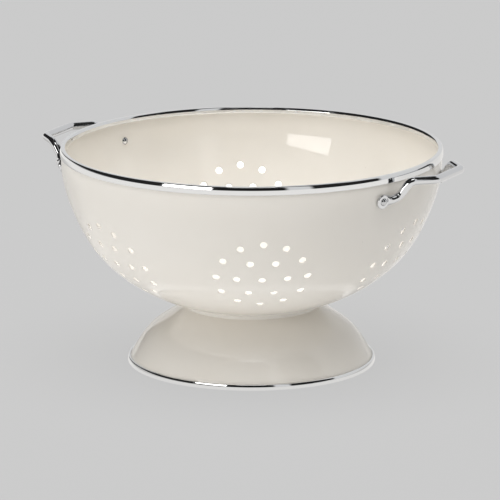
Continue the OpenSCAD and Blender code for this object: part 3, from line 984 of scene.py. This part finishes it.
def makeWorld():
    world = bpy.data.worlds.new("studio")
    bpy.context.scene.world = world
    world.use_nodes = True
    tree = world.node_tree
    tree.nodes.clear()
    path = addNode(tree, "ShaderNodeLightPath")
    way = addNode(tree, "ShaderNodeTexCoord").outputs["Generated"]
    turned = addNode(tree, "ShaderNodeVectorRotate",
                     {"Vector": way, "Angle": math.radians(-studio["cameraTurn"])}, rotation_type="Z_AXIS")
    axes = addNode(tree, "ShaderNodeSeparateXYZ", {0: turned.outputs[0]})
    front = addNode(tree, "ShaderNodeMath", {0: axes.outputs["Y"], 1: -1.0}, operation="MULTIPLY")
    azimuth = addNode(tree, "ShaderNodeMath", {0: axes.outputs["X"], 1: front.outputs[0]}, operation="ARCTAN2")
    elevation = addNode(tree, "ShaderNodeMath", {0: axes.outputs["Z"]}, operation="ARCSINE")
    soft = math.radians(studio["edgeSoft"])
    total = studio["backdropInMetal"]
    for left, right, low, high, brightness in surroundings:
        edges = []
        for source, start, end in ((azimuth, left, right), (elevation, low, high)):
            for edge, sign in ((start, 1.0), (end, -1.0)):
                limit = math.radians(edge)
                edges.append(addNode(tree, "ShaderNodeMapRange",
                                     {"Value": source.outputs[0], "From Min": limit - sign * soft,
                                      "From Max": limit + sign * soft}).outputs[0])
        inside = edges[0]
        for edge in edges[1:]:
            inside = addNode(tree, "ShaderNodeMath", {0: inside, 1: edge}, operation="MULTIPLY").outputs[0]
        total = addNode(tree, "ShaderNodeMix", {"Factor": inside, 2: total, 3: brightness}).outputs[0]
    start, full = studio["zenithFrom"]
    overhead = addNode(tree, "ShaderNodeMapRange",
                       {"Value": axes.outputs["Z"], "From Min": start, "From Max": full},
                       interpolation_type="SMOOTHSTEP")
    glow = addNode(tree, "ShaderNodeMath",
                   {0: overhead.outputs[0], 1: studio["skyZenith"], 2: studio["skyEven"]},
                   operation="MULTIPLY_ADD").outputs[0]
    ambient = addNode(tree, "ShaderNodeMix", {"Factor": path.outputs["Is Glossy Ray"], 2: glow, 3: total})
    grey = addNode(tree, "ShaderNodeMix",
                   {"Factor": path.outputs["Is Camera Ray"], 6: (1, 1, 1, 1), 7: hexColour(studio["background"])},
                   data_type="RGBA")
    strength = addNode(tree, "ShaderNodeMix",
                       {"Factor": path.outputs["Is Camera Ray"], 2: ambient.outputs[0], 3: 1.0})
    sky = addNode(tree, "ShaderNodeBackground", {"Color": grey.outputs[2], "Strength": strength.outputs[0]})
    addNode(tree, "ShaderNodeOutputWorld", {"Surface": sky.outputs[0]})


def besideCamera(x, y, z):  # a point with X to the camera's right and Y away from it, in metres
    turn = math.radians(studio["cameraTurn"])
    return Vector((x * math.cos(turn) - y * math.sin(turn), x * math.sin(turn) + y * math.cos(turn), z)) * mm


def makeSoftboxes():
    for name, left, right, low, high, setBack, brightness, colour in softboxes:
        corners = [besideCamera(*left, low), besideCamera(*right, low),
                   besideCamera(right[0], right[1] - setBack, high), besideCamera(left[0], left[1] - setBack, high)]
        along, up = corners[1] - corners[0], corners[3] - corners[0]
        data = bpy.data.lights.new(name, "AREA")
        data.shape = "RECTANGLE"
        data.size, data.size_y = along.length, up.length
        data.energy = brightness * math.pi * along.length * up.length
        data.color = hexColour(colour)[:3]
        lamp = bpy.data.objects.new(name, data)
        sideways, upwards = along.normalized(), up.normalized()
        backwards = sideways.cross(upwards)
        if backwards.dot(sum(corners, Vector())) < 0:
            sideways, backwards = -sideways, -backwards
        turned = Matrix((sideways, upwards, backwards)).transposed().to_4x4()
        lamp.matrix_world = Matrix.Translation(sum(corners, Vector()) / 4) @ turned
        lamp.visible_camera = False
        bpy.context.scene.collection.objects.link(lamp)


def makeCamera():
    data = bpy.data.cameras.new("photoCamera")
    data.sensor_width = 36
    data.lens = studio["lens"]
    data.clip_start, data.clip_end = 0.05, 60
    camera = bpy.data.objects.new("photoCamera", data)
    turn = math.radians(studio["cameraTurn"])
    aside, distance = studio["cameraAside"], studio["cameraDistance"]
    camera.location = (math.sin(turn) * distance + math.cos(turn) * aside,
                       -math.cos(turn) * distance + math.sin(turn) * aside, studio["cameraHeight"])
    camera.rotation_euler = (math.radians(90 - studio["cameraPitch"]), 0, turn)
    bpy.context.scene.collection.objects.link(camera)
    bpy.context.scene.camera = camera


makeFloor()
makeWorld()
makeSoftboxes()
makeCamera()
bpy.context.scene.view_settings.view_transform = "Standard"
print("studio made")
